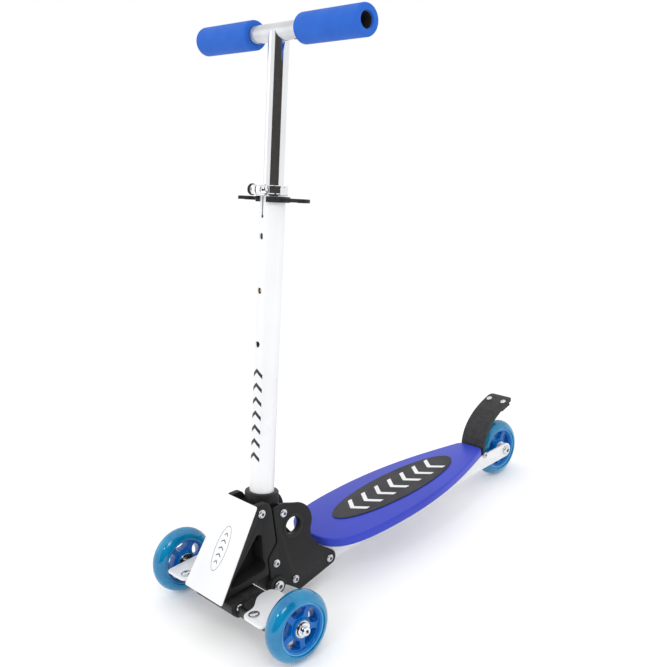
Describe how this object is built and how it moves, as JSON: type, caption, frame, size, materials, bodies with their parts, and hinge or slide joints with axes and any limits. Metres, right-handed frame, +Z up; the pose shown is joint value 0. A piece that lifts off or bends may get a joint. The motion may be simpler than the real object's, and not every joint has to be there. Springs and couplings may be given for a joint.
{
  "type": "kick scooter",
  "caption": "Folding three-wheeled kick scooter for children with a height-adjustable T-bar, lean-to-steer front truck and rear foot brake.",
  "frame": {"origin": "on the ground, under the middle of the scooter's box", "axes": "+Z up, -Y the way the scooter rides, +X to the rider's left"},
  "size_m": [0.304, 0.627, 0.7394],
  "materials": {
    "deck_blue": "moulded, lightly glossy",
    "grip_sheet": "gritty non-slip sheet",
    "white_paint": "white powder coat",
    "black_plastic": "moulded, satin",
    "clear_blue_tyre": "tinted see-through urethane",
    "blue_hub": "moulded, tinted",
    "chrome_plate": "polished plating",
    "satin_alloy": "satin",
    "blue_foam": "closed-cell foam",
    "brass_button": "polished",
    "black_rubber": "moulded",
    "zinc_steel": "zinc plated, domed"
  },
  "bodies": {
    "deck": {"deck_board": "deck_blue", "grip_pad": "grip_sheet", "deck_frame": "white_paint", "rear_spacer_left": "zinc_steel", "rear_spacer_right": "zinc_steel", "rear_axle_bolt": "zinc_steel", "side_plate_left": "black_plastic", "side_plate_right": "black_plastic", "head_casting": "black_plastic", "front_cover": "white_paint", "pivot_bolt": "zinc_steel", "upper_plate_bolt": "zinc_steel", "front_frame_bolt": "zinc_steel", "rear_frame_bolt": "zinc_steel", "head_bolt": "zinc_steel", "stem_fold_pin": "zinc_steel", "kingpin_bolt": "zinc_steel", "steering_bush": "black_rubber", "brake_pin": "zinc_steel", "brake_spring": "zinc_steel"},
    "truck": {"truck_body": "black_plastic", "truck_cross_bolt": "zinc_steel", "axle_bracket_left": "white_paint", "axle_bracket_right": "white_paint", "bracket_bolt_left": "zinc_steel", "bracket_bolt_right": "zinc_steel", "front_axle_bolt_left": "zinc_steel", "front_axle_bolt_right": "zinc_steel"},
    "wheel_left": {"front_wheel_left_tyre": "clear_blue_tyre", "front_wheel_left_hub": "blue_hub", "front_wheel_left_bearing_inner": "zinc_steel", "front_wheel_left_bearing_outer": "zinc_steel"},
    "wheel_right": {"front_wheel_right_tyre": "clear_blue_tyre", "front_wheel_right_hub": "blue_hub", "front_wheel_right_bearing_inner": "zinc_steel", "front_wheel_right_bearing_outer": "zinc_steel"},
    "wheel_rear": {"rear_wheel_tyre": "clear_blue_tyre", "rear_wheel_hub": "blue_hub", "rear_wheel_bearing_inner": "zinc_steel", "rear_wheel_bearing_outer": "zinc_steel"},
    "stem": {"stem_socket": "black_plastic", "lower_tube": "white_paint", "clamp_collar": "chrome_plate", "clamp_skewer": "zinc_steel", "clip_holder": "black_plastic"},
    "lever": {"clamp_lever": "zinc_steel"},
    "handlebar": {"upper_tube": "chrome_plate", "guide_bush": "black_plastic", "cross_tube": "satin_alloy"},
    "height_button": {"height_button": "brass_button"},
    "handle_left": {"handle_tube_left": "satin_alloy", "foam_grip_left": "blue_foam"},
    "handle_right": {"handle_tube_right": "satin_alloy", "foam_grip_right": "blue_foam"},
    "catch_left": {"handle_button_left": "zinc_steel"},
    "catch_right": {"handle_button_right": "zinc_steel"},
    "brake": {"brake_flap": "black_plastic", "brake_pad": "black_rubber", "brake_rivet_left": "zinc_steel", "brake_rivet_right": "zinc_steel"}
  },
  "joints": [
    {"name": "steer_lean", "type": "hinge", "parent": "deck", "child": "truck", "pos_m": [0, -0.27146, 0.05], "axis": [0, -0.5, 0.866], "range_deg": [-10, 10], "stiffness_Nm_per_rad": 12},
    {"name": "wheel_left_spin", "type": "hinge", "parent": "truck", "child": "wheel_left", "pos_m": [0.124, -0.26546, 0.045], "axis": [1, 0, 0], "continuous": true},
    {"name": "wheel_right_spin", "type": "hinge", "parent": "truck", "child": "wheel_right", "pos_m": [-0.124, -0.26546, 0.045], "axis": [1, 0, 0], "continuous": true},
    {"name": "wheel_rear_spin", "type": "hinge", "parent": "deck", "child": "wheel_rear", "pos_m": [0, 0.26854, 0.045], "axis": [1, 0, 0], "continuous": true},
    {"name": "stem_fold", "type": "hinge", "parent": "deck", "child": "stem", "pos_m": [0, -0.19689, 0.13573], "axis": [-1, 0, 0], "range_deg": [0, 75]},
    {"name": "clamp_lever_swing", "type": "hinge", "parent": "stem", "child": "lever", "pos_m": [0, -0.14554, 0.54187], "axis": [1, 0, 0], "range_deg": [0, 150]},
    {"name": "height_slide", "type": "slide", "parent": "stem", "child": "handlebar", "axis": [0, 0.2062, 0.9785], "range_m": [-0.0675, 0.0675]},
    {"name": "height_button_press", "type": "slide", "parent": "handlebar", "child": "height_button", "axis": [0, 0.9785, -0.2062], "range_m": [0, 0.0025], "stiffness_N_per_m": 800},
    {"name": "handle_left_pull", "type": "slide", "parent": "handlebar", "child": "handle_left", "axis": [1, 0, 0], "range_m": [0, 0.045]},
    {"name": "handle_right_pull", "type": "slide", "parent": "handlebar", "child": "handle_right", "axis": [-1, 0, 0], "range_m": [0, 0.045]},
    {"name": "catch_left_press", "type": "slide", "parent": "handle_left", "child": "catch_left", "axis": [0, 0.2062, 0.9785], "range_m": [0, 0.002], "stiffness_N_per_m": 500},
    {"name": "catch_right_press", "type": "slide", "parent": "handle_right", "child": "catch_right", "axis": [0, 0.2062, 0.9785], "range_m": [0, 0.002], "stiffness_N_per_m": 500},
    {"name": "brake_press", "type": "hinge", "parent": "deck", "child": "brake", "pos_m": [0, 0.21554, 0.056], "axis": [-1, 0, 0], "range_deg": [0, 15], "stiffness_Nm_per_rad": 2, "springref_deg": -5.73}
  ]
}
